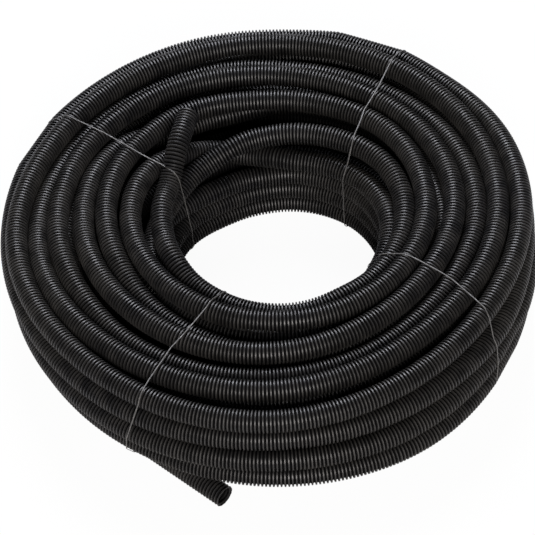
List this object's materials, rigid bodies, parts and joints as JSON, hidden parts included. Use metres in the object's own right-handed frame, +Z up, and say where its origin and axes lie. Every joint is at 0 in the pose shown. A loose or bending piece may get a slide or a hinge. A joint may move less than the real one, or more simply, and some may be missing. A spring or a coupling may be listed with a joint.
{
  "type": "corrugated conduit",
  "caption": "Flat-wound coil of black corrugated plastic conduit, tied around, with two open cut ends; protects electrical cables pulled through its bore.",
  "frame": {"origin": "on the floor under the middle of the coil", "axes": "Z up along the coil's axis; the outer free end leaves the front of the coil towards +X, 13 degrees below it"},
  "size_m": [0.6094, 0.6093, 0.1534],
  "materials": {
    "conduit": "satin black extruded plastic, ribbed",
    "tie": "thin grey plastic tie"
  },
  "bodies": {
    "root": {"conduit_coil": "conduit", "conduit_outer_end": "conduit", "conduit_inner_end": "conduit", "tie_right": "tie", "tie_back": "tie", "tie_left": "tie", "tie_front": "tie"}
  },
  "joints": []
}
